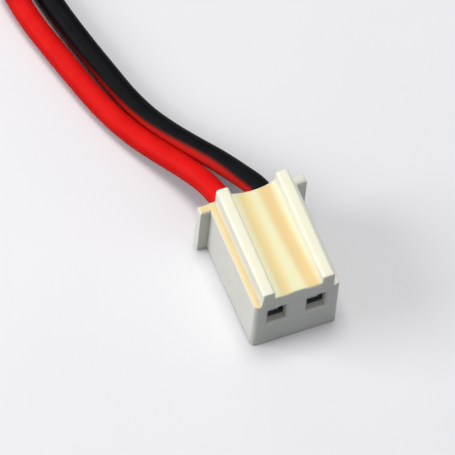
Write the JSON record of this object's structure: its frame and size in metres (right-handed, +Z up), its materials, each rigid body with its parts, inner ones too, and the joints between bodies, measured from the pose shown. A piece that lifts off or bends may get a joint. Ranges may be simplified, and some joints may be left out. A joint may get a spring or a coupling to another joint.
{
  "type": "battery connector",
  "caption": "Small white crimp-style cable plug for a battery: ribbed nylon housing with side ears and two pin holes, on a red and a black coiled lead.",
  "frame": {"origin": "middle of the housing's bottom", "axes": "+Z up out of the ribbed side, -Y out of the mating face, +Y towards the leads, +X to the black lead's side"},
  "size_m": [0.0222, 0.0495, 0.0075],
  "materials": {
    "housing_plastic": "natural nylon, satin",
    "tin_plate": "tin-plated bronze strip",
    "copper": "bare copper",
    "red_sleeve": "soft vinyl, semi-gloss",
    "black_sleeve": "soft vinyl, semi-gloss",
    "tie_plastic": "natural nylon",
    "solder": "tinned strands"
  },
  "bodies": {
    "root": {"housing": "housing_plastic", "red_contact": "tin_plate", "black_contact": "tin_plate", "red_strands": "copper", "black_strands": "copper", "red_lead": "red_sleeve", "black_lead": "black_sleeve", "red_coil": "red_sleeve", "black_coil": "black_sleeve", "coil_tie": "tie_plastic", "red_tip": "solder", "black_tip": "solder"}
  },
  "joints": []
}
